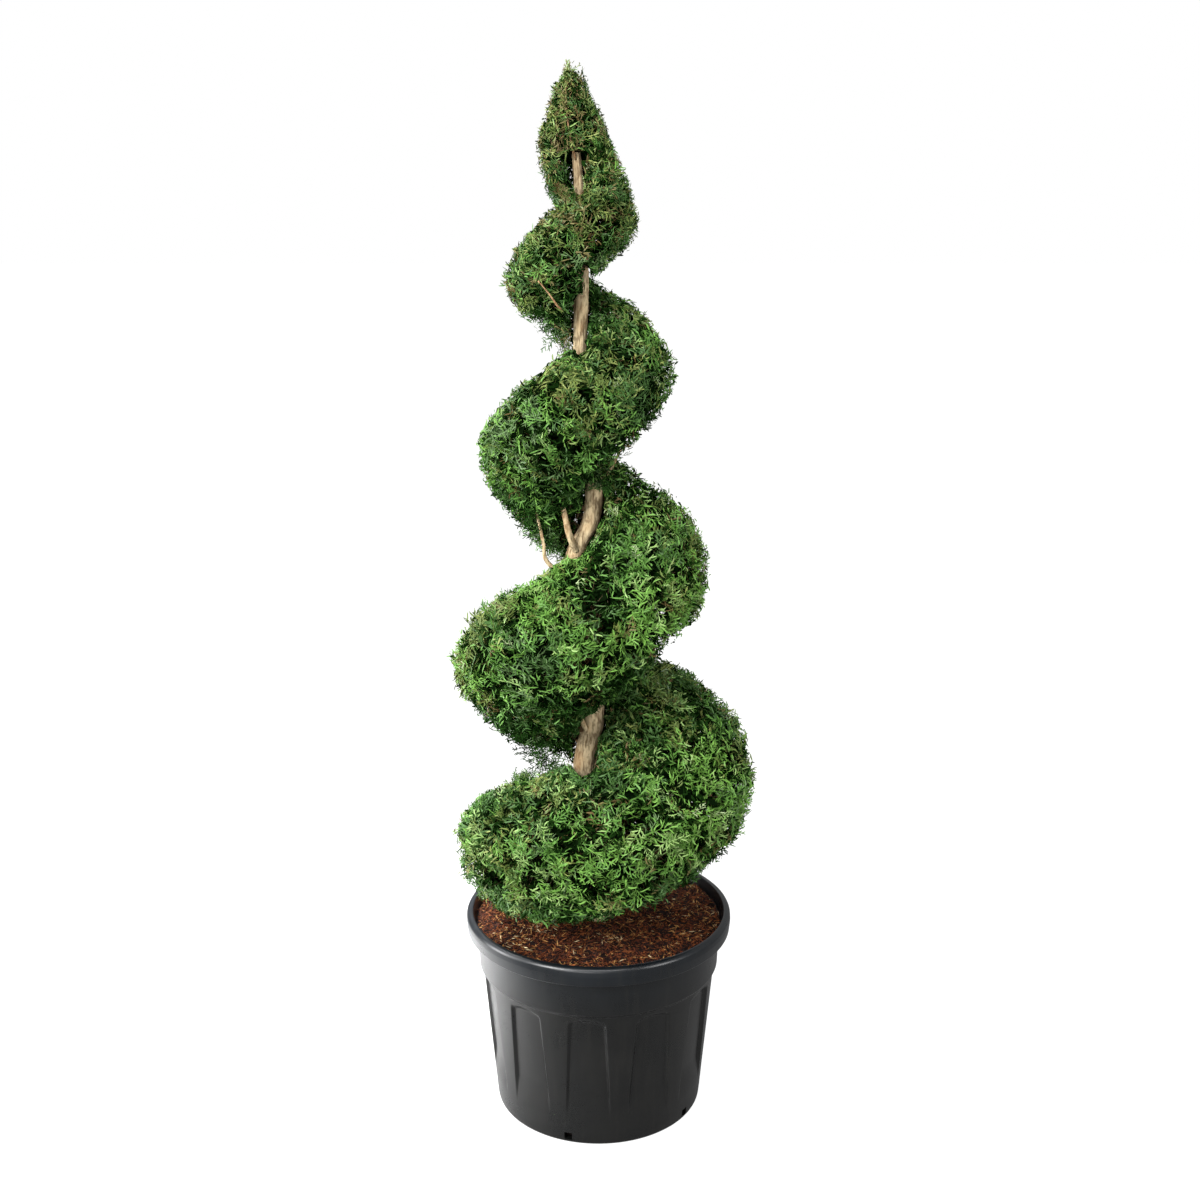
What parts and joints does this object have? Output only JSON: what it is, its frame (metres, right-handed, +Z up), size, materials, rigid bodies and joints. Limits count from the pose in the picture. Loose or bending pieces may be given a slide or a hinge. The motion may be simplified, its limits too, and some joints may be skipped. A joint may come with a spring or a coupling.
{
  "type": "potted spiral topiary conifer",
  "caption": "Clipped spiral conifer on one trunk in a round ribbed nursery pot filled with soil, standing on the pot's flat underside.",
  "frame": {"origin": "centre of the pot's flat underside, where it stands", "axes": "+Z up along the trunk, -Y towards the front, +X to the right seen from the front"},
  "size_m": [0.5937, 0.6105, 1.9131],
  "materials": {
    "pot_plastic": "satin moulded black nursery plastic, slightly bluish",
    "soil_mulch": "loose red-brown bark and coir fibres, rough and moist",
    "bark": "pale tan fibrous bark in long strips, rough",
    "foliage_green": "matte mid-green flat scale sprays with yellow-green tips and near-black gaps"
  },
  "bodies": {
    "root": {"pot": "pot_plastic", "soil": "soil_mulch", "trunk": "bark", "bough_upper_left": "bark", "bough_lower_left": "bark", "bough_right": "bark", "bough_foot": "bark", "foliage_01": "foliage_green", "foliage_02": "foliage_green", "foliage_03": "foliage_green", "foliage_04": "foliage_green", "foliage_05": "foliage_green", "foliage_06": "foliage_green", "foliage_07": "foliage_green", "foliage_08": "foliage_green", "foliage_09": "foliage_green", "foliage_10": "foliage_green", "foliage_11": "foliage_green", "foliage_12": "foliage_green", "foliage_13": "foliage_green", "foliage_tuft": "foliage_green"}
  },
  "joints": []
}
